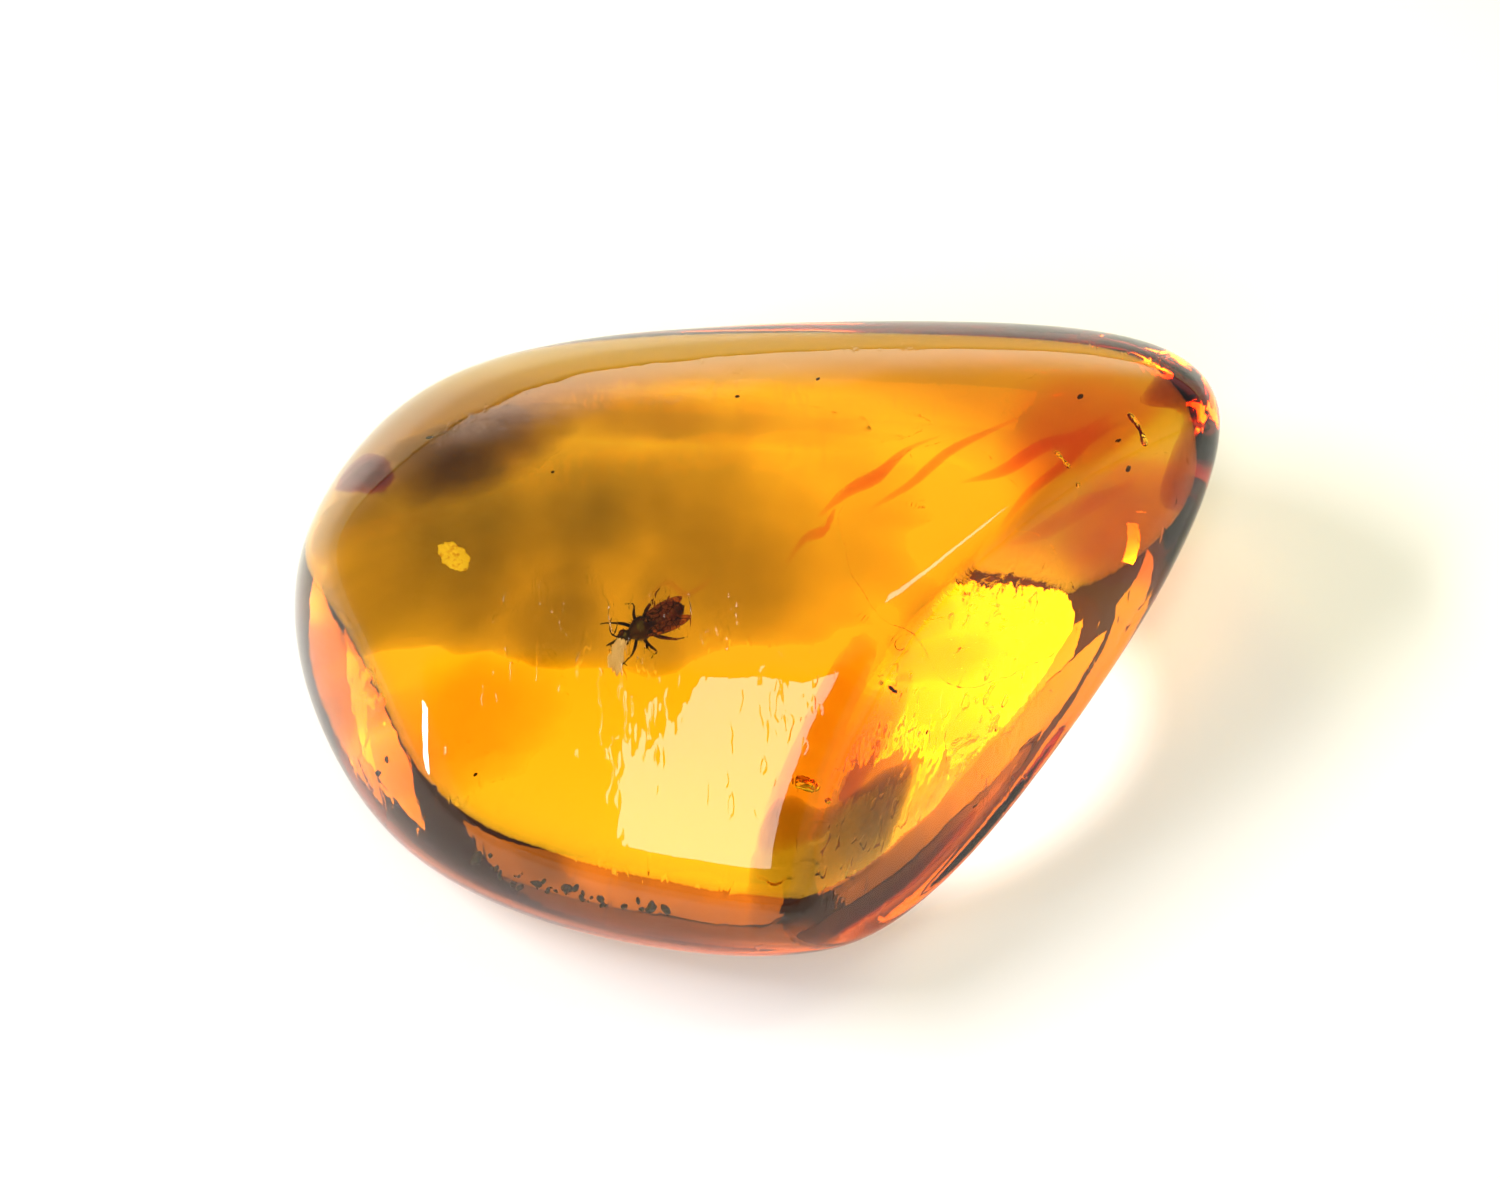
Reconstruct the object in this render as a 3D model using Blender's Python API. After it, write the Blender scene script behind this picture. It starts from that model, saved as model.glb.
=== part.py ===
"""A polished pebble of clear amber, made as one solid, lying on a ground flat.

The stone is described from its heart outwards. Each face is a plane with a direction and a distance from
the heart, and the surface is the smooth blend of all the planes: broad worn faces meet in soft shoulders,
the flats that were ground later meet their neighbours in narrow ridges, and the last one in a keen ridge.
Directions are in degrees (azimuth from +X towards +Y, tilt above the horizontal), distances in millimetres.
"""

import math

import bmesh
import bpy
import numpy as np

MM = 0.001

# Broad worn faces of the lump: name -> (azimuth, tilt, distance from the heart)
WORN_FACES = {
    "crown": (-93, 86, 5.8),
    "front": (-99, 57, 7.0),
    "front_under": (-97, -21, 11.5),
    "front_left_under": (-132, -23, 14.7),
    "left": (187, -5, 15.4),
    "back_left": (139, 25, 13.9),
    "back": (90, 27, 11.5),
    "back_shoulder": (102, 69, 5.3),
    "back_under": (84, -41, 9.6),
    "tip": (37, 5, 18.0),
    "right": (-26, -6, 11.0),
    "right_under": (-35, -52, 8.7),
    "base": (0, -90, 5.3),
}

# Flats ground after the stone was rounded: name -> (azimuth, tilt, distance from the heart)
GROUND_FLATS = {
    "left_flat": (-151, 21, 12.5),
    "back_left_flat": (151, 29, 13.2),
    "underside": (0, -90, 4.7),
}

# The last flat to be ground, which meets its neighbours in a keen ridge
KEEN_FLATS = {
    "right_flat": (-43.5, 30, 7.2),
}

WORN_BLEND = 5.0        # exponent of the blend between worn faces: a low value gives an egg, a high one a crystal
GROUND_BLEND = 14.0     # the same for the ground flats, whose ridges are narrow
KEEN_BLEND = 28.0       # the same for the last flat
RESTING_CUT = 4.51      # how far below the heart the stone is ground level, for the flat that it rests on

GRID = 24               # squares along each side of the cube that is blown up into the stone
CUT_SNAP = 0.004        # points this close to the cut are moved onto it, so that it leaves no slivers

AMBER_COLOUR = (0.83, 0.38, 0.03, 1.0)
AMBER_ROUGHNESS = 0.06
AMBER_IOR = 1.54


def clear_scene():
    for old_object in list(bpy.data.objects):
        bpy.data.objects.remove(old_object, do_unlink=True)


def face_direction(azimuth, tilt):
    """Unit vector of a face's outward normal."""
    a = math.radians(azimuth)
    t = math.radians(tilt)
    return np.array([math.cos(a) * math.cos(t), math.sin(a) * math.cos(t), math.sin(t)])


def blend_sum(rays, faces, exponent):
    """Sum over the faces of (1 / distance to the face along each ray) ** exponent."""
    total = np.zeros(len(rays))
    for azimuth, tilt, distance in faces.values():
        nearness = np.maximum(0.0, rays @ face_direction(azimuth, tilt) / distance)
        total += nearness ** exponent
    return total


def surface_distance(rays):
    """Distance in millimetres from the heart to the surface along each unit ray."""
    nearness = np.zeros(len(rays))
    for faces, exponent in ((WORN_FACES, WORN_BLEND), (GROUND_FLATS, GROUND_BLEND), (KEEN_FLATS, KEEN_BLEND)):
        nearness = (nearness ** exponent + blend_sum(rays, faces, exponent)) ** (1 / exponent)
    return 1 / nearness


def blow_up_cube(bm):
    """A gridded cube whose points are moved out along their rays onto the stone's surface."""
    bmesh.ops.create_cube(bm, size=2.0)
    bmesh.ops.subdivide_edges(bm, edges=bm.edges[:], cuts=GRID - 1, use_grid_fill=True)
    points = np.array([v.co[:] for v in bm.verts])
    points = np.tan(points * math.pi / 4)      # evens out the squares once they lie on a ball
    rays = points / np.linalg.norm(points, axis=1)[:, None]
    surface = rays * surface_distance(rays)[:, None]
    for vertex, place in zip(bm.verts, surface):
        vertex.co = place


def grind_resting_flat(bm):
    """Cut the lowest bulge off level, snap the rim onto the cut and close it with one flat face."""
    level = -RESTING_CUT
    for vertex in bm.verts:
        if abs(vertex.co.z - level) < CUT_SNAP:
            vertex.co.z = level
    cut = bmesh.ops.bisect_plane(
        bm, geom=bm.verts[:] + bm.edges[:] + bm.faces[:], dist=CUT_SNAP / 100,
        plane_co=(0, 0, level), plane_no=(0, 0, -1), clear_outer=True)
    rim = [e for e in cut["geom_cut"] if isinstance(e, bmesh.types.BMEdge)]
    bmesh.ops.contextual_create(bm, geom=rim)
    bmesh.ops.recalc_face_normals(bm, faces=bm.faces[:])


def settle_on_origin(bm):
    """Put the origin under the middle of the stone, level with its resting flat, and change to metres."""
    points = np.array([v.co[:] for v in bm.verts])
    lowest = points.min(axis=0)
    highest = points.max(axis=0)
    middle = (lowest + highest) / 2
    bmesh.ops.translate(bm, vec=(-middle[0], -middle[1], -lowest[2]), verts=bm.verts[:])
    bmesh.ops.scale(bm, vec=(MM, MM, MM), verts=bm.verts[:])


def amber_material():
    material = bpy.data.materials.new("polished_amber")
    material.use_nodes = True
    shader = material.node_tree.nodes["Principled BSDF"]
    shader.inputs["Base Color"].default_value = AMBER_COLOUR
    shader.inputs["Roughness"].default_value = AMBER_ROUGHNESS
    shader.inputs["Metallic"].default_value = 0.0
    shader.inputs["Transmission Weight"].default_value = 1.0
    shader.inputs["IOR"].default_value = AMBER_IOR
    return material


def make_amber():
    bm = bmesh.new()
    blow_up_cube(bm)
    grind_resting_flat(bm)
    settle_on_origin(bm)
    mesh = bpy.data.meshes.new("amber")
    bm.to_mesh(mesh)
    bm.free()
    mesh.shade_smooth()
    mesh.materials.append(amber_material())
    stone = bpy.data.objects.new("amber", mesh)
    bpy.context.scene.collection.objects.link(stone)
    return stone


clear_scene()
make_amber()
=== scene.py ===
import math
import random

import bmesh
import bpy
import numpy as np
from mathutils import Matrix, Quaternion, Vector


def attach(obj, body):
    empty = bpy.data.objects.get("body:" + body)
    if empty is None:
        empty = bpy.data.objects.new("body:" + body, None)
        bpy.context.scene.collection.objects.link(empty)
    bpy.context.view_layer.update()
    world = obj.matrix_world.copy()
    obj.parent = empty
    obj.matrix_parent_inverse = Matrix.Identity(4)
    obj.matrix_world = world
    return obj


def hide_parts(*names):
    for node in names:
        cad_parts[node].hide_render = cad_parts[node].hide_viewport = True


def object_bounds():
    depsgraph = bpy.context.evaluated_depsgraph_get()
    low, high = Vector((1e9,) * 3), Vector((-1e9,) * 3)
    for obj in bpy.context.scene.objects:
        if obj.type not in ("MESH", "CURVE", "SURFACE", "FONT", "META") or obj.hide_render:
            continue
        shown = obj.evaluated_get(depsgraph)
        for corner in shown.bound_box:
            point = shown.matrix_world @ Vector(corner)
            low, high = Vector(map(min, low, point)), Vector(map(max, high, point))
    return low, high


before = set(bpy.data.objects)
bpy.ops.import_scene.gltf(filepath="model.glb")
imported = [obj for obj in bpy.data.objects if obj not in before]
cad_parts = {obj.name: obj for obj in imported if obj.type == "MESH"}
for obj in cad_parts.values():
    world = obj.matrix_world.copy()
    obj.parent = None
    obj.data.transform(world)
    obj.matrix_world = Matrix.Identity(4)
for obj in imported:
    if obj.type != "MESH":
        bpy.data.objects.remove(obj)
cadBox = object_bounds()
mm = 0.001


class Wire:  # a node's output that can be used in sums
    def __init__(self, graph, socket):
        self.graph, self.socket = graph, socket

    def __add__(self, other):
        return self.graph.combine("ADD", self, other)

    def __radd__(self, other):
        return self.graph.combine("ADD", other, self)

    def __sub__(self, other):
        return self.graph.combine("SUBTRACT", self, other)

    def __rsub__(self, other):
        return self.graph.combine("SUBTRACT", other, self)

    def __mul__(self, other):
        return self.graph.combine("MULTIPLY", self, other)

    def __rmul__(self, other):
        return self.graph.combine("MULTIPLY", other, self)

    def __truediv__(self, other):
        return self.graph.combine("DIVIDE", self, other)

    def __rtruediv__(self, other):
        return self.graph.combine("DIVIDE", other, self)

    def __pow__(self, other):
        return self.graph.combine("POWER", self, other)

    def atLeast(self, other):
        return self.graph.combine("MAXIMUM", self, other)

    def part(self, axis):
        return self.graph.add("ShaderNodeSeparateXYZ", {}, {0: self}, output=axis)


class Graph:  # a node tree, of a shader or of geometry nodes
    def __init__(self, tree):
        self.tree = tree

    def add(self, kind, settings=None, values=None, output=0):
        node = self.tree.nodes.new(kind)
        for name, value in (settings or {}).items():
            if name == "stops":
                self.setStops(node.color_ramp, value)
            else:
                setattr(node, name, value)
        for name, value in (values or {}).items():
            self.plug(node.inputs[name], value)
        return Wire(self, node.outputs[output]) if node.outputs else None

    def setStops(self, ramp, stops):
        while len(ramp.elements) < len(stops):
            ramp.elements.new(0.5)
        for element, (place, colour) in zip(ramp.elements, stops):
            element.position = place
            element.color = (*colour, 1)

    def plug(self, socket, value):
        if isinstance(value, Wire):
            self.tree.links.new(value.socket, socket)
        else:
            socket.default_value = value

    def combine(self, operation, *terms):
        kinds = {term.socket.type for term in terms if isinstance(term, Wire)}
        if "VECTOR" in kinds:
            terms = [term if isinstance(term, (Wire, tuple)) else (term,) * 3 for term in terms]
            return self.vector(operation, *terms)
        return self.add("ShaderNodeMath", {"operation": operation}, dict(enumerate(terms)))

    def vector(self, operation, *terms, output=0, scale=None):
        values = dict(enumerate(terms))
        if scale is not None:
            values["Scale"] = scale
        return self.add("ShaderNodeVectorMath", {"operation": operation}, values, output)

    def dot(self, one, other):
        return self.vector("DOT_PRODUCT", one, other, output="Value")

    def size(self, value):
        return self.vector("LENGTH", value, output="Value")

    def joined(self, x, y, z):
        return self.add("ShaderNodeCombineXYZ", {}, {"X": x, "Y": y, "Z": z})

    def fade(self, value, low, high):  # 0 at low to 1 at high
        return self.add("ShaderNodeMapRange", {"interpolation_type": "SMOOTHSTEP", "clamp": True},
                        {"Value": value, "From Min": low, "From Max": high})

    def noise(self, place, scale, seed, detail):  # about -0.5 to 0.5
        return self.add("ShaderNodeTexNoise", {"noise_dimensions": "4D"}, {
            "Vector": place, "W": seed, "Scale": scale, "Detail": detail}) - 0.5

    def cells(self, place, scale, feature="F1"):
        return self.add("ShaderNodeTexVoronoi", {"feature": feature}, {"Vector": place, "Scale": scale},
                        output="Distance")

    def tones(self, value, stops):
        return self.add("ShaderNodeValToRGB", {"stops": stops}, {"Fac": value})

    def onPiece(self):
        return self.add("ShaderNodeTexCoord", output="Object")

    def bump(self, height, depth, strength=1.0):
        return self.add("ShaderNodeBump", {}, {"Strength": strength, "Distance": depth, "Height": height},
                        output="Normal")


def facing(bearing, height):  # bearing from +X towards +Y, height above the floor, in degrees
    a, t = math.radians(bearing), math.radians(height)
    return (math.cos(a) * math.cos(t), math.sin(a) * math.cos(t), math.sin(t))


view = {
    "elevation": 55, "distance": 125.5, "lens": 100, "aim": (-0.2, 0.57, 4.79),
    "bounces": 14, "clearBounces": 16,
}


def addCamera():
    data = bpy.data.cameras.new("camera")
    data.lens, data.sensor_width = view["lens"], 36
    data.clip_start = 0.005
    camera = bpy.data.objects.new("camera", data)
    camera.location = (Vector(view["aim"]) + Vector(facing(-90, view["elevation"])) * view["distance"]) * mm
    camera.rotation_euler = (math.radians(90 - view["elevation"]), 0, 0)
    bpy.context.scene.collection.objects.link(camera)
    bpy.context.scene.camera = camera


lamps = {  # a hidden lamp shines into the stone but isn't mirrored in its polish
    "window": {"bearing": -98, "height": 62, "distance": 0.33, "width": 0.090, "tall": 0.400, "lean": 39,
               "glow": 5.5},
    "sideLamp": {"bearing": 172, "height": 43, "width": 0.20, "tall": 0.05, "glow": 45.0, "hidden": True},
    "edgeStrip": {"bearing": -153, "height": 14, "width": 0.016, "tall": 0.20, "glow": 45.0},
    "goldLamp": {"bearing": 116, "height": 43, "width": 0.09, "tall": 0.075, "glow": 6.5, "warm": True,
                 "hidden": True},
    "midPanel": {"bearing": 119, "height": 32, "width": 0.10, "tall": 0.085, "glow": 3.0, "warm": True,
                 "hidden": True},
    "leftPanel": {"bearing": 126, "height": 14, "width": 0.155, "tall": 0.16, "glow": 2.2, "warm": True,
                  "hidden": True},
    "backLamp": {"bearing": 53, "height": 28, "width": 0.10, "tall": 0.11, "glow": 8.0, "warm": True,
                 "hidden": True},
    "rightPanel": {"bearing": 38, "height": 20, "width": 0.14, "tall": 0.20, "glow": 5.5, "warm": True,
                   "hidden": True},
    "rimLamp": {"bearing": 83, "height": 28, "width": 0.12, "tall": 0.10, "glow": 2.6, "warm": True,
                "hidden": True},
    "lowLamp": {"bearing": 83, "height": 13, "width": 0.12, "tall": 0.10, "glow": 1.3, "hidden": True},
    "farPanel": {"bearing": 154, "height": 23, "width": 0.17, "tall": 0.13, "glow": 1.6, "warm": True,
                 "hidden": True},
    "ridgeLamp": {"bearing": 38, "height": 69, "width": 0.03, "tall": 0.185, "glow": 6.0, "spin": -33},
}
warmLight = (0.97, 1.0, 0.30)


def addLamp(name, bearing, height, width, tall, glow,
            distance=0.40, lean=0, spin=0, warm=False, hidden=False):
    data = bpy.data.lights.new(name, "AREA")
    data.shape = "RECTANGLE"
    data.size, data.size_y = width, tall
    data.energy = glow * math.pi * data.size * data.size_y
    data.color = warmLight if warm else (1, 1, 1)
    lamp = bpy.data.objects.new(name, data)
    lamp.location = Vector(facing(bearing, height)) * distance
    turn = Vector(facing(bearing, height - lean)).to_track_quat("Z", "Y")
    lamp.rotation_euler = (turn @ Quaternion((0, 0, 1), math.radians(spin))).to_euler()
    lamp.visible_glossy = not hidden
    bpy.context.scene.collection.objects.link(lamp)


room = {
    "ceiling": 0.18, "wall": 0.02, "wallFacing": (-97, 38), "wallEdge": (0.66, 0.74),
    "horizon": 1.8, "sideHorizon": 0.35, "horizonEdge": (0.95, 0.985), "horizonTop": 0.20,
}


def addRoom():  # a dim ceiling, a dark wall behind the camera and a bright strip along the far side
    world = bpy.data.worlds.new("studio")
    world.use_nodes = True
    world.node_tree.nodes.clear()
    graph = Graph(world.node_tree)
    toward = graph.add("ShaderNodeTexCoord", output="Generated")
    onWall = graph.fade(graph.dot(toward, facing(*room["wallFacing"])), *room["wallEdge"])
    walls = room["ceiling"] + onWall * (room["wall"] - room["ceiling"])
    farSide = graph.fade(toward.part("Y"), *room["horizonEdge"])
    strip = farSide * (room["horizon"] - room["sideHorizon"]) + room["sideHorizon"]
    low = 1 - graph.fade(toward.part("Z"), 0.0, room["horizonTop"])
    light = walls + (strip - walls) * low
    background = graph.add("ShaderNodeBackground", {}, {"Color": (1, 1, 1, 1), "Strength": light})
    graph.add("ShaderNodeOutputWorld", {}, {"Surface": background})
    bpy.context.scene.world = world


ground = {
    "reach": 2.0, "gap": 0.00005, "roughness": 0.9, "green": 0.96, "blue": 0.94,
    # near and far floor tones: darker far out as painted shade
    "near": 0.74, "far": 0.50, "farEdge": (0.032, 0.060),
    # glow and the under-stone glow: painted light given off by the floor itself
    "glow": 0.18, "paintedUnderGlow": 1.22, "underSize": (12.5, 8.5), "underEdge": (1.05, 0.75),
}


def addFloor():  # pale, with painted light: a faint glow all over and a bright glow patch under the stone; with painted shade: darker far out
    reach, level = ground["reach"], -ground["gap"]
    mesh = bpy.data.meshes.new("floor")
    corners = [(x * reach, y * reach, level) for x, y in ((-1, -1), (1, -1), (1, 1), (-1, 1))]
    mesh.from_pydata(corners, [], [(0, 1, 2, 3)])
    material, graph, sockets = newMaterial("paleFloor", {
        "Roughness": ground["roughness"], "Specular IOR Level": 0.0, "Emission Strength": 1.0})
    place = graph.onPiece()
    # painted shade: the floor tone darkens far out, dimming its reflection in the stone
    far = graph.fade(graph.size(place), *ground["farEdge"])
    pale = ground["near"] + far * (ground["far"] - ground["near"])
    graph.plug(sockets["Base Color"], graph.joined(pale, pale * ground["green"], pale * ground["blue"]))
    wide, deep = ground["underSize"]
    out = graph.size(graph.vector("DIVIDE", place, (wide * mm, deep * mm, 1.0)))
    under = graph.fade(out, *ground["underEdge"])
    # painted light: the floor's own glow, strong under the stone and fading out far away
    glow = (ground["glow"] + under * (ground["paintedUnderGlow"] - ground["glow"])) * (1 - far)
    graph.plug(sockets["Emission Color"], graph.joined(glow, glow, glow))
    mesh.materials.append(material)
    floor = bpy.data.objects.new("floor", mesh)
    bpy.context.scene.collection.objects.link(floor)


def newMaterial(name, values):
    material = bpy.data.materials.new(name)
    material.use_nodes = True
    sockets = material.node_tree.nodes["Principled BSDF"].inputs
    for label, value in values.items():
        sockets[label].default_value = value
    return material, Graph(material.node_tree), sockets


def clearMaterial(name, ior):
    return newMaterial(name, {
        "Base Color": (1, 1, 1, 1), "Roughness": 0.0, "IOR": ior, "Transmission Weight": 1.0})


def soakUp(material, colour, density):  # light lost along its way through
    nodes = material.node_tree.nodes
    absorb = nodes.new("ShaderNodeVolumeAbsorption")
    absorb.inputs["Color"].default_value = (*colour, 1)
    absorb.inputs["Density"].default_value = density
    material.node_tree.links.new(absorb.outputs[0], nodes["Material Output"].inputs["Volume"])


def setLightPaths():  # enough turns for light caught inside the stone
    cycles = bpy.context.scene.cycles
    cycles.max_bounces = cycles.transmission_bounces = cycles.glossy_bounces = view["bounces"]
    cycles.transparent_max_bounces = view["clearBounces"]
    bpy.context.scene.view_settings.view_transform = "Standard"


addCamera()
addRoom()
addFloor()
for name, setting in lamps.items():
    addLamp(name, **setting)
setLightPaths()
print("camera, floor and lamps set")


def newTree(name, kinds, takesMesh=False):
    tree = bpy.data.node_groups.new(name, "GeometryNodeTree")
    if takesMesh:
        tree.interface.new_socket("Geometry", in_out="INPUT", socket_type="NodeSocketGeometry")
    for label, kind in kinds.items():
        tree.interface.new_socket(label, in_out="INPUT", socket_type="NodeSocket" + kind)
    tree.interface.new_socket("Material", in_out="INPUT", socket_type="NodeSocketMaterial")
    tree.interface.new_socket("Geometry", in_out="OUTPUT", socket_type="NodeSocketGeometry")
    graph = Graph(tree)
    inputs = tree.nodes.new("NodeGroupInput")
    return tree, graph, {socket.name: Wire(graph, socket) for socket in inputs.outputs if socket.name}


def closeTree(graph, geometry, material):
    smooth = graph.add("GeometryNodeSetShadeSmooth", {}, {"Geometry": geometry})
    real = graph.add("GeometryNodeRealizeInstances", {}, {0: smooth})
    dressed = graph.add("GeometryNodeSetMaterial", {}, {"Geometry": real, "Material": material})
    graph.add("NodeGroupOutput", {}, {"Geometry": dressed})


def growMesh(name, tree, settings, start=None):
    holder = bpy.data.objects.new(name + "Holder", start or bpy.data.meshes.new(name + "Holder"))
    bpy.context.scene.collection.objects.link(holder)
    modifier = holder.modifiers.new("grow", "NODES")
    modifier.node_group = tree
    for item in tree.interface.items_tree:
        if item.in_out == "INPUT" and item.name in settings:
            modifier[item.identifier] = settings[item.name]
    bpy.context.view_layer.update()
    grown = holder.evaluated_get(bpy.context.evaluated_depsgraph_get())
    mesh = bpy.data.meshes.new_from_object(grown)
    mesh.name = name
    piece = bpy.data.objects.new(name, mesh)
    bpy.context.scene.collection.objects.link(piece)
    bpy.data.objects.remove(holder)
    return piece


stone = {
    "grid": 128,
    "size": 10.0,
    "restingCut": 4.51,
    "waveScale": 3.2,
    "waveDepth": 0.05,
    "blends": {"wornFaces": 5.0, "groundFlats": 14.0, "keenFlats": 28.0},
    "wornFaces": {  # bearing and height that each faces, and its distance from the middle
        "crown": (-93, 86, 5.8), "front": (-99, 57, 7.0), "frontUnder": (-97, -21, 11.5),
        "frontLeftUnder": (-132, -23, 14.7), "left": (187, -5, 15.4), "backLeft": (139, 25, 13.9),
        "back": (90, 27, 11.5), "backShoulder": (102, 69, 5.3), "backUnder": (84, -41, 9.6),
        "tip": (37, 5, 18.0), "right": (-26, -6, 11.0), "rightUnder": (-35, -52, 8.7),
        "base": (0, -90, 5.3)},
    "groundFlats": {
        "leftFlat": (-151, 21, 12.5), "backLeftFlat": (151, 29, 13.2), "underside": (0, -90, 4.7)},
    "keenFlats": {"rightFlat": (-43.5, 30, 7.2)},
}
blendNames = {"wornFaces": "Worn Blend", "groundFlats": "Ground Blend", "keenFlats": "Keen Blend"}


def stoneTree():  # each face pushes the surface in; the higher its blend, the crisper its edges
    tree, graph, asked = newTree("stoneShape", {
        "Grid": "Int", "Worn Blend": "Float", "Ground Blend": "Float", "Keen Blend": "Float"})
    cube = graph.add("GeometryNodeMeshCube", {}, {
        "Size": (2, 2, 2), **{"Vertices " + axis: asked["Grid"] for axis in "XYZ"}})
    place = graph.add("GeometryNodeInputPosition")
    ray = graph.vector("NORMALIZE", graph.vector("TANGENT", place * (math.pi / 4)))
    nearness = None
    for faces, blendName in blendNames.items():
        blend = asked[blendName]
        total = 0.0 if nearness is None else nearness ** blend
        for azimuth, tilt, distance in stone[faces].values():
            reach = graph.dot(ray, facing(azimuth, tilt))
            total = (reach * (stone["size"] / distance)).atLeast(0.0) ** blend + total
        nearness = total ** (1 / blend)
    wave = graph.noise(ray, stone["waveScale"], 5.0, 1) * stone["waveDepth"]
    surface = graph.add("GeometryNodeSetPosition", {}, {
        "Geometry": cube, "Position": ray * (stone["size"] / nearness + wave)})
    closeTree(graph, surface, asked["Material"])
    return tree


amber = {"ior": 1.54, "tint": (0.98, 0.84, 0.0), "density": 600}
polish = {  # depths in millimetres
    "stretch": (1.0, 0.35, 0.35), "rippleScale": 1800, "rippleDepth": 0.004,
    "pitScale": 3300, "pitEdge": (0.07, 0.15), "pitDepth": 0.013,
    "clusterScale": 300, "clusterEdge": (-0.05, 0.15),
    "worstAt": (-0.0035, -0.0050, 0.0084), "worstReach": 0.0065, "worstCore": 0.4, "leastWorn": 0.2,
}


def amberMaterial():
    material, graph, sockets = clearMaterial("clearAmber", amber["ior"])
    soakUp(material, amber["tint"], amber["density"])
    place = graph.onPiece()
    drawn = place * polish["stretch"]
    ripple = graph.noise(drawn, polish["rippleScale"], 1.0, 2)
    cluster = graph.fade(graph.noise(place, polish["clusterScale"], 2.0, 1), *polish["clusterEdge"])
    away = graph.size(place - polish["worstAt"])
    worn = graph.fade(away, polish["worstReach"], polish["worstReach"] * polish["worstCore"])
    worn = worn * (1 - polish["leastWorn"]) + polish["leastWorn"]
    pits = graph.fade(graph.noise(drawn, polish["pitScale"], 3.0, 1), *polish["pitEdge"]) * cluster * worn
    height = ripple * polish["rippleDepth"] - pits * polish["pitDepth"]
    graph.plug(sockets["Normal"], graph.bump(height, mm))
    return material


def readPoints(mesh):
    points = np.empty(len(mesh.vertices) * 3, np.float32)
    mesh.vertices.foreach_get("co", points)
    return points.reshape(-1, 3)


def writePoints(mesh, points):
    mesh.vertices.foreach_set("co", points.ravel())
    mesh.update()


def makeStone():
    settings = {blendNames[faces]: blend for faces, blend in stone["blends"].items()}
    settings.update({"Grid": stone["grid"] + 1, "Material": amberMaterial()})
    piece = growMesh("amberStone", stoneTree(), settings)
    points = readPoints(piece.data) * mm
    points[:, 2] = np.maximum(points[:, 2], -stone["restingCut"] * mm)
    lowest, highest = points.min(axis=0), points.max(axis=0)
    cadLowest, cadHighest = np.array(cadBox[0]), np.array(cadBox[1])
    fit = np.minimum(1.0, (cadHighest - cadLowest) / (highest - lowest))
    points = (points - lowest) * fit + (cadLowest + cadHighest - (highest - lowest) * fit) / 2
    points[:, 2] -= points[:, 2].min() - cadLowest[2]
    writePoints(piece.data, points)
    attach(piece, "root")
    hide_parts("amber")


makeStone()
print("stone made")


def settle(piece):  # from millimetres to metres, and onto the stone
    writePoints(piece.data, readPoints(piece.data) * mm)
    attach(piece, "root")


def tintMaterial(name, colour, density):  # clear, seen only by what it soaks up
    material, graph, sockets = clearMaterial(name, 1.0)
    soakUp(material, colour, density)
    return material


def veilTree():  # a flat cloud with a ragged outline
    tree, graph, asked = newTree("veil", {
        "Middle": "Vector", "Half Size": "Vector", "Slope": "Vector", "Turn": "Float",
        "Squareness": "Float", "Edge": "Float", "Ragged": "Float", "Rag Scale": "Float",
        "Lumps": "Float", "Lump Scale": "Float", "Seed": "Float", "Thicker Toward": "Vector"})
    ball = graph.add("GeometryNodeMeshIcoSphere", {}, {"Radius": 1.0, "Subdivisions": 6})
    place = graph.add("GeometryNodeInputPosition")
    flat = graph.vector("MULTIPLY", place, (1, 1, 0))
    way = graph.vector("NORMALIZE", flat)
    sideways = graph.vector("ABSOLUTE", way)
    corner = sideways.part("X") ** asked["Squareness"] + sideways.part("Y") ** asked["Squareness"]
    square = corner.atLeast(0.01) ** (-1 / asked["Squareness"])
    rag = graph.noise(way, asked["Rag Scale"], asked["Seed"], 8) * asked["Ragged"] + 1
    plan = graph.vector("MULTIPLY", graph.vector("SCALE", flat, scale=square * rag), asked["Half Size"])
    lump = graph.noise(plan, asked["Lump Scale"], asked["Seed"] + 7.3, 3) * asked["Lumps"] + 1
    lump = lump * (graph.dot(plan, asked["Thicker Toward"]) + 1).atLeast(0.05)
    up = place.part("Z")
    rise = graph.combine("SIGN", up) * graph.combine("ABSOLUTE", up) ** (asked["Edge"] * 2) * lump
    high = rise * asked["Half Size"].part("Z") + graph.dot(plan, asked["Slope"])
    lifted = plan + graph.joined(0.0, 0.0, high)
    turned = graph.add("ShaderNodeVectorRotate", {"rotation_type": "Z_AXIS"}, {
        "Vector": lifted, "Angle": asked["Turn"]})
    cloud = graph.add("GeometryNodeSetPosition", {}, {
        "Geometry": ball, "Position": turned + asked["Middle"]})
    closeTree(graph, cloud, asked["Material"])
    return tree


def tubeTree():  # a tapering tube along each path
    tree, graph, asked = newTree("tubes", {
        "Sides": "Int", "Steps": "Int", "Flatten": "Float"}, takesMesh=True)
    path = graph.add("GeometryNodeMeshToCurve", {}, {0: asked["Geometry"]})
    path = graph.add("GeometryNodeCurveSplineType", {"spline_type": "CATMULL_ROM"}, {"Curve": path})
    path = graph.add("GeometryNodeResampleCurve", {}, {"Curve": path, "Count": asked["Steps"]})
    thick = graph.add("GeometryNodeInputNamedAttribute", {"data_type": "FLOAT"}, {"Name": "thick"})
    ring = graph.add("GeometryNodeCurvePrimitiveCircle", {"mode": "RADIUS"}, {
        "Resolution": asked["Sides"], "Radius": 1.0})
    ring = graph.add("GeometryNodeTransform", {}, {
        "Geometry": ring, "Scale": graph.joined(1.0, asked["Flatten"], 1.0)})
    tube = graph.add("GeometryNodeCurveToMesh", {}, {
        "Curve": path, "Profile Curve": ring, "Scale": thick, "Fill Caps": True})
    closeTree(graph, tube, asked["Material"])
    return tree


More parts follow.
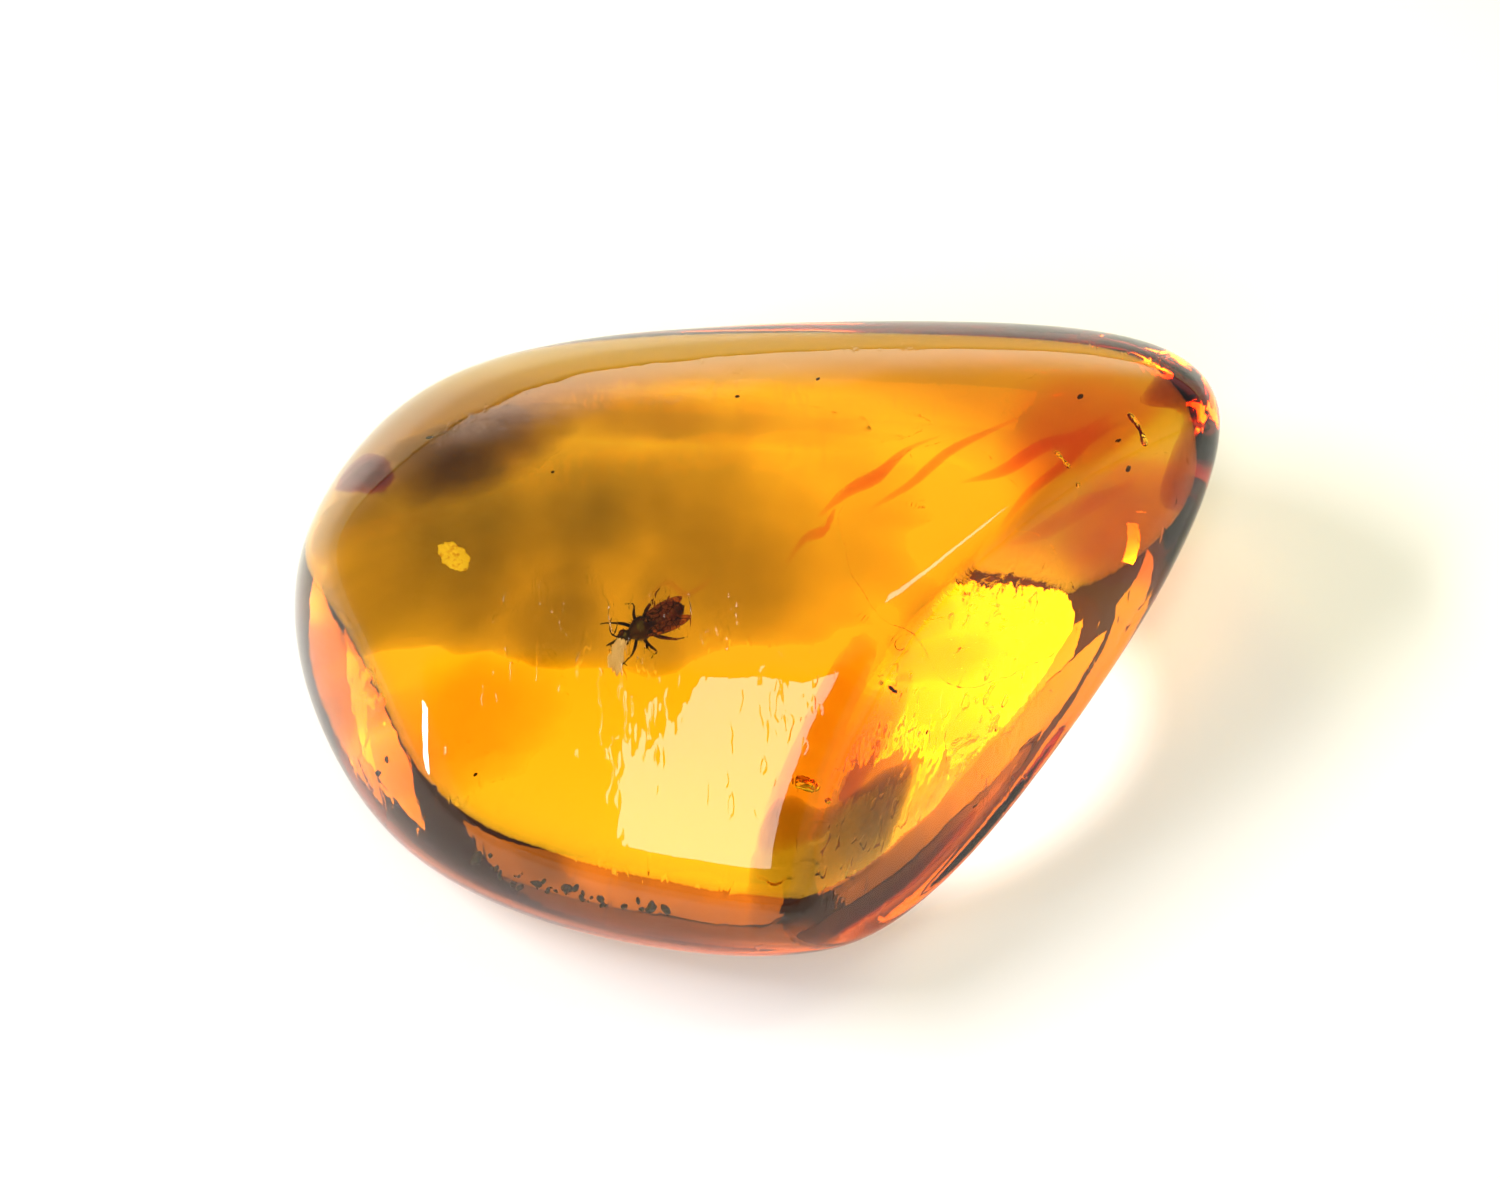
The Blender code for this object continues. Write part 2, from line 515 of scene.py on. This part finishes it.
def grainTree():  # a rough grain or a round bubble on every point
    tree, graph, asked = newTree("grains", {
        "Detail": "Int", "Roughen": "Float", "Rough Scale": "Float", "Stretch": "Vector", "Seed": "Int"},
        takesMesh=True)
    grain = graph.add("GeometryNodeMeshIcoSphere", {}, {"Radius": 1.0, "Subdivisions": asked["Detail"]})
    size = graph.add("GeometryNodeInputNamedAttribute", {"data_type": "FLOAT"}, {"Name": "size"})
    turn = graph.add("FunctionNodeRandomValue", {"data_type": "FLOAT_VECTOR"}, {
        0: (0, 0, 0), 1: (6.28, 6.28, 6.28), "Seed": asked["Seed"]})
    dots = graph.add("GeometryNodeMeshToPoints", {}, {"Mesh": asked["Geometry"]})
    grains = graph.add("GeometryNodeInstanceOnPoints", {}, {
        "Points": dots, "Instance": grain, "Rotation": turn,
        "Scale": graph.vector("SCALE", asked["Stretch"], scale=size)})
    grains = graph.add("GeometryNodeRealizeInstances", {}, {0: grains})
    place = graph.add("GeometryNodeInputPosition")
    bump = graph.noise(place, asked["Rough Scale"], 0.5, 3) * asked["Roughen"] * size
    normal = graph.add("GeometryNodeInputNormal")
    rough = graph.add("GeometryNodeSetPosition", {}, {
        "Geometry": grains, "Offset": graph.vector("SCALE", normal, scale=bump)})
    closeTree(graph, rough, asked["Material"])
    return tree


def hairTree():  # bristles standing on a body
    tree, graph, asked = newTree("hairs", {
        "Density": "Float", "Length": "Float", "Thickness": "Float", "Seed": "Int"}, takesMesh=True)
    scatter = graph.add("GeometryNodeDistributePointsOnFaces", {}, {
        "Mesh": asked["Geometry"], "Density": asked["Density"], "Seed": asked["Seed"]})
    turn = Wire(graph, scatter.socket.node.outputs["Rotation"])
    hair = graph.add("GeometryNodeMeshCone", {}, {
        "Vertices": 5, "Radius Top": 0.0, "Radius Bottom": asked["Thickness"], "Depth": asked["Length"]},
        output="Mesh")
    grow = graph.add("FunctionNodeRandomValue", {"data_type": "FLOAT"}, {
        2: 0.5, 3: 1.2, "Seed": asked["Seed"]}, output=1)
    hairs = graph.add("GeometryNodeInstanceOnPoints", {}, {
        "Points": scatter, "Instance": hair, "Rotation": turn, "Scale": graph.joined(1.0, 1.0, grow)})
    closeTree(graph, hairs, asked["Material"])
    return tree


def pathMesh(name, paths, place=None):  # joined points with a thickness each, for tubeTree
    points, edges, thick = [], [], []
    for path in paths:
        for number, (x, y, z, radius) in enumerate(path):
            if number:
                edges.append((len(points) - 1, len(points)))
            points.append(place(x, y, z) if place else (x, y, z))
            thick.append(radius)
    mesh = bpy.data.meshes.new(name)
    mesh.from_pydata(points, edges, [])
    mesh.attributes.new("thick", "FLOAT", "POINT").data.foreach_set("value", thick)
    return mesh


def pointMesh(name, dots):  # loose points with a size each, for grainTree
    mesh = bpy.data.meshes.new(name)
    mesh.from_pydata([dot[:3] for dot in dots], [], [])
    mesh.attributes.new("size", "FLOAT", "POINT").data.foreach_set("value", [dot[3] for dot in dots])
    return mesh


veils = veilTree()
tubes = tubeTree()
grainShapes = grainTree()
print("shape trees made")


insect = {
    "middle": (-3.05, -2.3, 6.45), "size": 1.16, "yaw": 206, "pitch": 4, "roll": -28,
    "body": (  # along the body, height of its middle, half width, half height
        (0.93, -0.10, 0.02, 0.02), (0.88, -0.07, 0.10, 0.10), (0.78, -0.03, 0.17, 0.17),
        (0.66, 0.00, 0.18, 0.18), (0.58, 0.02, 0.11, 0.12), (0.52, 0.04, 0.16, 0.18),
        (0.38, 0.08, 0.27, 0.30), (0.20, 0.08, 0.29, 0.32), (0.06, 0.05, 0.24, 0.26),
        (-0.02, 0.03, 0.18, 0.19), (-0.12, 0.02, 0.28, 0.27), (-0.35, 0.01, 0.35, 0.32),
        (-0.58, 0.00, 0.33, 0.30), (-0.76, -0.01, 0.24, 0.22), (-0.88, -0.03, 0.13, 0.12),
        (-0.95, -0.04, 0.02, 0.02)),
    "slices": 150, "sides": 56, "capLength": 0.01,
    "waist": -0.04, "rings": 7, "ringDepth": 0.10, "ringCrispness": 0.45, "ringSpan": (0.02, 0.97),
    "hairs": {"Density": 70.0, "Length": 0.13, "Thickness": 0.006, "Seed": 4},
    "roughness": 0.32, "ior": 1.56, "patchScale": 9000, "patchiness": 0.25,
    "tones": (  # from the tail to the nose
        (0.0, (0.012, 0.003, 0.001)), (0.10, (0.03, 0.006, 0.002)), (0.20, (0.16, 0.022, 0.003)),
        (0.42, (0.10, 0.012, 0.002)), (0.50, (0.018, 0.005, 0.003)), (1.0, (0.010, 0.006, 0.005))),
    "dimpleScale": 26000, "dimpleDepth": 0.01, "dimpleStrength": 0.35,
}
yaw, pitch, roll = (math.radians(insect[name]) for name in ("yaw", "pitch", "roll"))
turnedBody = Matrix.Rotation(yaw, 3, "Z") @ Matrix.Rotation(pitch, 3, "Y") @ Matrix.Rotation(roll, 3, "X")


def onInsect(x, y, z):
    return tuple(Vector(insect["middle"]) + turnedBody @ Vector((x, y, z)) * insect["size"])


def meshPiece(name, points, faces, material):
    mesh = bpy.data.meshes.new(name)
    mesh.from_pydata(points, [], faces)
    mesh.shade_smooth()
    mesh.materials.append(material)
    piece = bpy.data.objects.new(name, mesh)
    bpy.context.scene.collection.objects.link(piece)
    return piece


def cuticleMaterial():  # near black in front, dark red behind
    material, graph, sockets = newMaterial("darkCuticle", {
        "Roughness": insect["roughness"], "IOR": insect["ior"]})
    place = graph.onPiece()
    fromMiddle = place - tuple(value * mm for value in insect["middle"])
    along = graph.dot(fromMiddle, tuple(turnedBody @ Vector((1 / mm, 0, 0))))
    patches = graph.noise(place, insect["patchScale"], 1.0, 4) * insect["patchiness"]
    where = (along + patches) * 0.5 + 0.5
    graph.plug(sockets["Base Color"], graph.tones(where, insect["tones"]))
    dimples = graph.cells(place, insect["dimpleScale"])
    depth, strength = insect["dimpleDepth"] * mm, insect["dimpleStrength"]
    graph.plug(sockets["Normal"], graph.bump(dimples, depth, strength))
    return material


def makeInsectBody(material):
    body = np.array(insect["body"])[::-1]
    tailEnd, noseEnd = body[0, 0], body[-1, 0]
    evenly = np.linspace(tailEnd, noseEnd, insect["slices"])
    easing = (1 - np.cos(np.linspace(0, np.pi, insect["slices"]))) / 2
    along = (evenly + tailEnd + (noseEnd - tailEnd) * easing) / 2  # closer slices at both ends
    rise, wide, tall = (np.interp(along, body[:, 0], body[:, column]) for column in (1, 2, 3))
    smooth = np.array((1, 2, 3, 2, 1)) / 9
    for profile in (rise, wide, tall):
        profile[2:-2] = np.convolve(profile, smooth, "valid")
    behindWaist = np.clip((insect["waist"] - along) / (insect["waist"] - tailEnd), 0, 1)
    ringed = (behindWaist > insect["ringSpan"][0]) * (behindWaist < insect["ringSpan"][1])
    hollow = 1 - np.abs(np.sin(behindWaist * np.pi * insect["rings"])) ** insect["ringCrispness"]
    groove = 1 - insect["ringDepth"] * hollow * ringed
    sides, points, faces = insect["sides"], [], []
    for x, z, w, h, g in zip(along, rise, wide, tall, groove):
        for angle in np.linspace(0, 2 * np.pi, sides, endpoint=False):
            points.append(onInsect(x, w * g * math.cos(angle), z + h * g * math.sin(angle)))
    last = (len(along) - 1) * sides
    for ring in range(0, last, sides):
        for column in range(sides):
            after = (column + 1) % sides
            faces.append((ring + column, ring + after, ring + sides + after, ring + sides + column))
    points.append(onInsect(along[0] - insect["capLength"], 0, rise[0]))
    points.append(onInsect(along[-1] + insect["capLength"], 0, rise[-1]))
    tail, nose = len(points) - 2, len(points) - 1
    for column in range(sides):
        after = (column + 1) % sides
        faces.append((tail, after, column))
        faces.append((nose, last + column, last + after))
    return meshPiece("insectBody", points, faces, material)


limbs = {
    "legs": (  # points from the body outwards, with the thickness at each; mirrored for the other side
        ((0.42, 0.20, -0.08, 0.050), (0.56, 0.44, 0.02, 0.048), (0.74, 0.62, 0.14, 0.030),
         (0.84, 0.70, -0.14, 0.024), (0.92, 0.76, -0.30, 0.018), (1.02, 0.80, -0.36, 0.012)),
        ((0.26, 0.24, -0.12, 0.052), (0.24, 0.56, 0.04, 0.050), (0.16, 0.82, 0.22, 0.030),
         (0.10, 0.92, -0.10, 0.024), (0.16, 0.98, -0.30, 0.018), (0.24, 1.02, -0.38, 0.012)),
        ((0.10, 0.20, -0.12, 0.055), (-0.10, 0.52, 0.02, 0.056), (-0.36, 0.78, 0.26, 0.034),
         (-0.50, 0.86, -0.08, 0.026), (-0.60, 0.90, -0.32, 0.018), (-0.70, 0.94, -0.40, 0.012))),
    "feelers": (
        ((0.86, 0.07, 0.06, 0.030), (0.96, 0.14, 0.16, 0.022), (1.04, 0.24, 0.22, 0.026),
         (1.06, 0.38, 0.22, 0.024), (1.02, 0.52, 0.16, 0.020), (0.94, 0.64, 0.10, 0.010)),),
    "snout": (
        (0.88, 0.0, -0.12, 0.060), (1.00, 0.0, -0.20, 0.042), (1.10, 0.0, -0.27, 0.030),
        (1.18, 0.0, -0.31, 0.012)),
    "bend": 0.13, "reach": 0.74, "sides": 12, "steps": 40,
}


def mirrored(path, shift):  # the far side, bent a little differently
    bend = limbs["bend"]
    return tuple((x + shift * bend * abs(y), -y * (1 - bend), z - bend * shift * y * y, r)
                 for x, y, z, r in path)


def makeLimbs(material):
    near = [tuple((x, y * limbs["reach"], z, r) for x, y, z, r in leg) for leg in limbs["legs"]]
    legs = [path for leg in near for path in (leg, mirrored(leg, 1))]
    feelers = [path for feeler in limbs["feelers"] for path in (feeler, mirrored(feeler, -1))]
    for name, paths in (("insectLegs", legs), ("insectFeelers", feelers + [limbs["snout"]])):
        piece = growMesh(name, tubes, {
            "Sides": limbs["sides"], "Steps": limbs["steps"], "Flatten": 1.0, "Material": material},
            pathMesh(name + "Paths", paths, onInsect))
        settle(piece)


eyes = {
    "along": 0.74, "apart": 0.115, "height": 0.06, "radius": 0.10, "tint": (0.05, 0.004, 0.002, 1),
    "roughness": 0.2, "facetScale": 60000, "facetDepth": 0.004, "facetStrength": 0.5,
}
plainGrain = {"Roughen": 0.0, "Rough Scale": 1.0, "Stretch": (1, 1, 1)}


def makeEyes():
    material, graph, sockets = newMaterial("eye", {
        "Base Color": eyes["tint"], "Roughness": eyes["roughness"]})
    facets = graph.cells(graph.onPiece(), eyes["facetScale"])
    graph.plug(sockets["Normal"], graph.bump(facets, eyes["facetDepth"] * mm, eyes["facetStrength"]))
    places = [onInsect(eyes["along"], side * eyes["apart"], eyes["height"]) for side in (-1, 1)]
    dots = [(*place, eyes["radius"]) for place in places]
    piece = growMesh("insectEyes", grainShapes, {
        **plainGrain, "Detail": 5, "Seed": 1, "Material": material}, pointMesh("eyePoints", dots))
    settle(piece)


wing = {
    "root": (0.30, 0.16, 0.30), "length": 1.25, "wide": 0.24, "lift": 0.10, "spread": 0.10, "thick": 0.012,
    "steps": 60, "rows": 17, "wrinkle": 0.03, "rootWidth": 0.35, "widestAt": 0.62, "bluntness": 0.6,
    "rim": 0.004, "droop": 0.5, "overlap": 0.012, "mergeGap": 0.0004,
    "tint": (0.55, 0.22, 0.08, 1), "roughness": 0.2, "ior": 1.15, "clearness": 0.85,
    "skinTint": (0.62, 0.26, 0.10, 1),
    "veinTint": (0.06, 0.02, 0.01, 1), "veinScale": 5200, "veinEdge": (0.02, 0.10),
}


def wingMaterial():
    material, graph, sockets = newMaterial("smokyWing", {
        "Base Color": wing["tint"], "Roughness": wing["roughness"], "IOR": wing["ior"],
        "Transmission Weight": wing["clearness"]})
    edges = graph.cells(graph.onPiece(), wing["veinScale"], "DISTANCE_TO_EDGE")
    colour = graph.add("ShaderNodeMix", {"data_type": "RGBA"}, {
        0: graph.fade(edges, *wing["veinEdge"]), 6: wing["veinTint"], 7: wing["skinTint"]}, output=2)
    graph.plug(sockets["Base Color"], colour)
    return material


def wingPoint(side, layer, t, v):  # t along the wing from its root, v across it from -1 to 1
    fullness = max(math.sin(math.pi * t ** wing["widestAt"]), 0.0) ** wing["bluntness"]
    half = wing["wide"] * fullness * (wing["rootWidth"] + (1 - wing["rootWidth"]) * t) + wing["rim"]
    x = wing["root"][0] - wing["length"] * t
    y = wing["root"][1] + wing["spread"] * t + half * v
    z = wing["root"][2] + wing["lift"] * t * (1 - t) * 4 - wing["droop"] * (y - 0.1) ** 2
    z += wing["wrinkle"] * math.sin(9 * v + 5 * t) * t
    z += layer * wing["thick"] / 2 * (1 - abs(v) ** 6) * (1 - abs(2 * t - 1) ** 8) + side * wing["overlap"]
    return onInsect(x, side * y, z)


def makeWings():
    points, faces = [], []
    steps, rows = wing["steps"], wing["rows"]
    for side in (-1, 1):
        for layer in (1, -1):
            for step in range(steps + 1):
                t = step / steps
                points += [wingPoint(side, layer, t, row / rows * 2 - 1) for row in range(rows + 1)]
    count = (steps + 1) * (rows + 1)
    for upper, flipped in ((0, False), (2 * count, True)):  # one wing, then the other
        for step in range(steps):
            for row in range(rows):
                first = upper + step * (rows + 1) + row
                for a, turnOver in ((first, flipped), (first + count, not flipped)):  # its two skins
                    quad = (a, a + 1, a + rows + 2, a + rows + 1)
                    faces.append(quad[::-1] if turnOver else quad)
    piece = meshPiece("insectWings", points, faces, wingMaterial())
    merged = bmesh.new()
    merged.from_mesh(piece.data)
    bmesh.ops.remove_doubles(merged, verts=merged.verts, dist=wing["mergeGap"])
    bmesh.ops.recalc_face_normals(merged, faces=merged.faces)
    merged.to_mesh(piece.data)
    merged.free()
    piece.data.shade_smooth()
    settle(piece)


def makeInsect():
    cuticle = cuticleMaterial()
    body = makeInsectBody(cuticle)
    hairs = growMesh("insectHairs", hairTree(), {**insect["hairs"], "Material": cuticle}, body.data.copy())
    settle(hairs)
    settle(body)
    makeLimbs(cuticle)
    makeEyes()
    makeWings()


makeInsect()
print("insect made")

plainVeil = {"Slope": (0, 0, 0), "Turn": 0, "Squareness": 2, "Thicker Toward": (0, 0, 0)}
flowsAndShades = {  # sizes in millimetres, Turn in degrees; real colour zones plus absorbing sheets of painted shade
    # painted shade: a khaki absorbing sheet darkens the crown where less light comes through
    "khakiFlow": {
        "Middle": (-3.7, 1.7, 5.2), "Half Size": (8.9, 4.4, 0.8), "Slope": (0, 0.05, 0), "Squareness": 2.5,
        "Edge": 0.5, "Ragged": 0.45, "Rag Scale": 3.5, "Lumps": 2.6, "Lump Scale": 0.40, "Seed": 1.7,
        "Thicker Toward": (-0.07, -0.12, 0), "tint": (0.38, 0.40, 0.0), "density": 900},
    # painted shade: a brown absorbing sheet darkens the upper left
    "brownCloud": {
        "Middle": (-8.2, 4.4, 4.0), "Half Size": (3.2, 1.8, 1.3), "Slope": (0.1, -0.2, 0), "Turn": 28,
        "Squareness": 2.2, "Edge": 1.2, "Ragged": 0.5, "Rag Scale": 1.5, "Lumps": 2.0, "Lump Scale": 0.6,
        "Seed": 4.2, "tint": (0.25, 0.12, 0.0), "density": 700},
    "shadeBand": {
        "Middle": (-1.5, 5.6, 3.6), "Half Size": (7.0, 1.2, 1.0), "Slope": (-0.05, 0, 0), "Turn": -4,
        "Squareness": 2.2, "Edge": 1.3, "Ragged": 0.6, "Rag Scale": 2.5, "Lumps": 2.4, "Lump Scale": 0.5,
        "Seed": 6.1, "Thicker Toward": (-0.08, 0, 0), "tint": (0.35, 0.2, 0.0), "density": 380},
    "rimStain": {
        "Middle": (-11.1, 3.9, 3.9), "Half Size": (0.6, 1.1, 0.9), "Turn": 20, "Edge": 0.7, "Ragged": 0.6,
        "Rag Scale": 2.0, "Lumps": 0.8, "Lump Scale": 1.5, "Seed": 2.9,
        "tint": (0.7, 0.02, 0.0), "density": 2600},
    "tipStain": {
        "Middle": (10.2, 4.8, 3.0), "Half Size": (2.9, 2.8, 1.4), "Turn": -35, "Edge": 1.3, "Ragged": 0.5,
        "Rag Scale": 2.0, "Lumps": 1.8, "Lump Scale": 0.7, "Seed": 8.8,
        "tint": (0.90, 0.42, 0.0), "density": 560},
    "tipEdge": {
        "Middle": (12.2, 6.1, 4.0), "Half Size": (0.7, 1.7, 1.5), "Turn": -25, "Edge": 1.0, "Ragged": 0.5,
        "Rag Scale": 2.0, "Lumps": 1.0, "Lump Scale": 0.8, "Seed": 9.4,
        "tint": (0.6, 0.1, 0.0), "density": 900},
    "orangeFlow": {
        "Middle": (-8.3, -3.6, 3.6), "Half Size": (3.0, 2.0, 1.1), "Turn": 20, "Squareness": 2.2,
        "Edge": 1.1, "Ragged": 0.6, "Rag Scale": 3.0, "Lumps": 2.0, "Lump Scale": 0.8, "Seed": 7.4,
        "tint": (0.97, 0.55, 0.0), "density": 400},
    "ridgeFlow": {
        "Middle": (1.7, -4.6, 3.9), "Half Size": (3.6, 0.55, 1.2), "Turn": 66, "Squareness": 2.4,
        "Edge": 0.7, "Ragged": 0.5, "Rag Scale": 5.0, "Lumps": 1.5, "Lump Scale": 1.2, "Seed": 3.9,
        "tint": (0.72, 0.28, 0.0), "density": 620},
    # painted reflection: a grey absorbing wedge dulls the right facet in place of the grey reflection over
    # it
    "greyWedge": {
        "Middle": (1.7, -6.5, 2.5), "Half Size": (3.3, 1.55, 0.5), "Turn": 58, "Squareness": 1.3,
        "Edge": 0.4, "Ragged": 0.4, "Rag Scale": 3.0, "Lumps": 0.8, "Lump Scale": 1.0, "Seed": 2.3,
        "Thicker Toward": (0.2, 0, 0), "tint": (0.41, 0.38, 0.27), "density": 1900},
}


def makeVeil(name, shape, material):
    asked = {**plainVeil, **shape, "Turn": math.radians(shape.get("Turn", 0))}
    for label, value in asked.items():
        asked[label] = tuple(map(float, value)) if isinstance(value, tuple) else float(value)
    settle(growMesh(name, veils, {**asked, "Material": material}))


def makeFlowsAndShades():
    for name, flow in flowsAndShades.items():
        makeVeil(name, flow, tintMaterial(name, flow["tint"], flow["density"]))


makeFlowsAndShades()

paintedFleck = {
    "shape": {
        "Middle": (-4.0, -4.05, 7.85), "Half Size": (0.24, 0.46, 0.05), "Slope": (0.1, 0.5, 0), "Turn": -12,
        "Edge": 1.2, "Ragged": 1.5, "Rag Scale": 1.6, "Lumps": 2.0, "Lump Scale": 3.0, "Seed": 4.5},
    "tint": (0.86, 0.62, 0.50, 1), "roughness": 0.5,
    "frothScale": 22000, "frothDepth": 0.01, "frothStrength": 0.6,
}


def makePaintedReflectionFleck():  # painted reflection: a pale opaque fleck by the insect's head stands in for a fleck of reflected window light
    material, graph, sockets = newMaterial("paintedReflectionSkin", {
        "Base Color": paintedFleck["tint"], "Roughness": paintedFleck["roughness"]})
    froth = graph.cells(graph.onPiece(), paintedFleck["frothScale"])
    graph.plug(sockets["Normal"], graph.bump(froth, paintedFleck["frothDepth"] * mm, paintedFleck["frothStrength"]))
    makeVeil("milkFleck", paintedFleck["shape"], material)


makePaintedReflectionFleck()
print("flows made")

streaks = {
    "paths": (
        ((1.9, 1.1, 6.2, 0.04), (2.8, 1.9, 6.3, 0.16), (3.7, 2.5, 6.1, 0.20), (4.6, 3.4, 6.2, 0.10),
         (5.6, 3.9, 6.2, 0.03)),
        ((3.4, 1.5, 5.6, 0.03), (4.6, 2.3, 5.6, 0.12), (5.8, 3.4, 5.7, 0.15), (7.0, 4.2, 5.6, 0.10),
         (8.2, 4.9, 5.6, 0.03)),
        ((1.0, 0.0, 5.2, 0.03), (1.5, 0.7, 5.3, 0.10), (2.1, 1.0, 5.2, 0.14), (2.4, 1.7, 5.2, 0.05)),
        ((6.2, 2.6, 5.0, 0.03), (7.4, 3.0, 5.1, 0.15), (8.6, 3.9, 5.0, 0.18), (9.6, 4.4, 4.9, 0.12),
         (10.6, 5.3, 4.7, 0.04)),
        ((-3.4, -1.6, 6.0, 0.02), (-2.6, -0.9, 6.1, 0.05), (-2.0, -1.2, 6.0, 0.07),
         (-1.2, -0.7, 6.0, 0.02))),
    "flatten": 2.6, "sides": 20, "steps": 70, "tint": (0.90, 0.30, 0.0), "density": 1500,
}


def makeStreaks():
    material = tintMaterial("redStreak", streaks["tint"], streaks["density"])
    piece = growMesh("redStreaks", tubes, {
        "Sides": streaks["sides"], "Steps": streaks["steps"], "Flatten": streaks["flatten"],
        "Material": material}, pathMesh("streakPaths", streaks["paths"]))
    settle(piece)


makeStreaks()
print("streaks made")

bubbles = {
    "dots": (  # place and radius
        (1.17, -6.5, 5.2, 0.20), (1.5, -6.75, 4.9, 0.08), (11.1, 4.7, 6.8, 0.12), (-4.2, -3.2, 6.6, 0.05),
        (-4.05, -3.0, 6.5, 0.035), (-2.2, -2.6, 6.7, 0.04), (8.9, 3.1, 6.9, 0.07)),
    "stretch": (1, 1, 1.1),
    "gasIor": 0.65,  # of gas against amber
}


def gasMaterial():
    material = bpy.data.materials.new("gas")
    material.use_nodes = True
    material.node_tree.nodes.clear()
    graph = Graph(material.node_tree)
    glass = graph.add("ShaderNodeBsdfGlass", {}, {"Roughness": 0.0, "IOR": bubbles["gasIor"]})
    graph.add("ShaderNodeOutputMaterial", {}, {"Surface": glass})
    return material


def makeBubbles():
    piece = growMesh("gasBubbles", grainShapes, {
        **plainGrain, "Detail": 5, "Stretch": bubbles["stretch"], "Seed": 3, "Material": gasMaterial()},
        pointMesh("bubblePoints", bubbles["dots"]))
    settle(piece)


spangles = {
    "small": {
        "Middle": (-8.8, -0.4, 7.0), "Half Size": (0.62, 0.34, 0.05), "Slope": (-0.2, -0.03, 0),
        "Turn": 130, "Edge": 0.5, "Ragged": 0.8, "Rag Scale": 2.5, "Lumps": 1.2, "Lump Scale": 5.0,
        "Seed": 3.3},
    "gold": {
        "Middle": (5.6, 1.7, 3.0), "Half Size": (2.8, 2.6, 0.06), "Slope": (-0.1, 0.1, 0), "Turn": 30,
        "Squareness": 3, "Edge": 1.3, "Ragged": 0.3, "Rag Scale": 2.0, "Lumps": 2.0, "Lump Scale": 1.7,
        "Seed": 5.1},
    "crazedIor": 1.12, "crinkleScale": 1500, "crinkleDepth": 0.06,
    "roughness": 0.4, "glintScale": 5000, "tones": ((0.35, (0.75, 0.40, 0.03)), (0.5, (1.0, 0.80, 0.10))),
}


def crazedMaterial():  # a thin crack whose skin throws the light back
    material, graph, sockets = clearMaterial("crazedAmber", spangles["crazedIor"])
    crinkle = graph.noise(graph.onPiece(), spangles["crinkleScale"], 9.0, 4)
    graph.plug(sockets["Normal"], graph.bump(crinkle, spangles["crinkleDepth"] * mm))
    return material


def sunnyMaterial():
    # painted glint: the spangle's mottled bright yellow stands in for light glinting off a crack
    material, graph, sockets = newMaterial("sunFleck", {"Roughness": spangles["roughness"]})
    glint = graph.noise(graph.onPiece(), spangles["glintScale"], 6.0, 2) + 0.5
    graph.plug(sockets["Base Color"], graph.tones(glint, spangles["tones"]))
    return material


makeBubbles()
makeVeil("smallSpangle", spangles["small"], sunnyMaterial())
makeVeil("goldSpangle", spangles["gold"], crazedMaterial())
print("bubbles and spangles made")

debris = {
    "rimPath": (
        (-7.7, -7.6, 3.2), (-6.6, -8.3, 3.3), (-5.2, -8.7, 3.3), (-4.0, -8.9, 3.2), (-2.4, -9.2, 3.2)),
    "count": 46, "scatter": 0.22, "smallest": 0.03, "largest": 0.17, "fewLarge": 2.5, "seed": 12,
    "loners": (  # place and radius
        (-10.2, -4.8, 4.1, 0.10), (4.4, -4.2, 4.6, 0.06), (-9.6, 5.0, 4.2, 0.10), (-0.5, 5.9, 5.8, 0.08),
        (9.9, 6.0, 4.2, 0.09), (-6.0, 3.1, 5.0, 0.06), (-7.9, -5.6, 4.4, 0.05), (2.0, 6.8, 4.9, 0.07)),
    "grain": {
        "Detail": 3, "Roughen": 1.2, "Rough Scale": 6.0, "Stretch": (1.3, 0.8, 0.7), "Seed": 8},
    "roughness": 0.75, "toneScale": 4000,
    "tones": ((0.3, (0.010, 0.012, 0.004)), (0.55, (0.05, 0.03, 0.01)), (0.75, (0.10, 0.04, 0.012))),
}


def makeDebris():
    material, graph, sockets = newMaterial("barkCrumb", {"Roughness": debris["roughness"]})
    tone = graph.noise(graph.onPiece(), debris["toneScale"], 2.0, 3) + 0.5
    graph.plug(sockets["Base Color"], graph.tones(tone, debris["tones"]))
    dice = random.Random(debris["seed"])
    dots = list(debris["loners"])
    path, spread = debris["rimPath"], debris["scatter"]
    smallest, largest = debris["smallest"], debris["largest"]
    for number in range(debris["count"]):
        place = dice.random() * (len(path) - 1.001)
        step, part = int(place), place - int(place)
        ends = zip(path[step], path[step + 1])
        dot = [a + (b - a) * part + dice.uniform(-spread, spread) for a, b in ends]
        dots.append((*dot, smallest + (largest - smallest) * dice.random() ** debris["fewLarge"]))
    piece = growMesh("forestDebris", grainShapes, {**debris["grain"], "Material": material},
                     pointMesh("debrisPoints", dots))
    settle(piece)


makeDebris()
print("debris made")
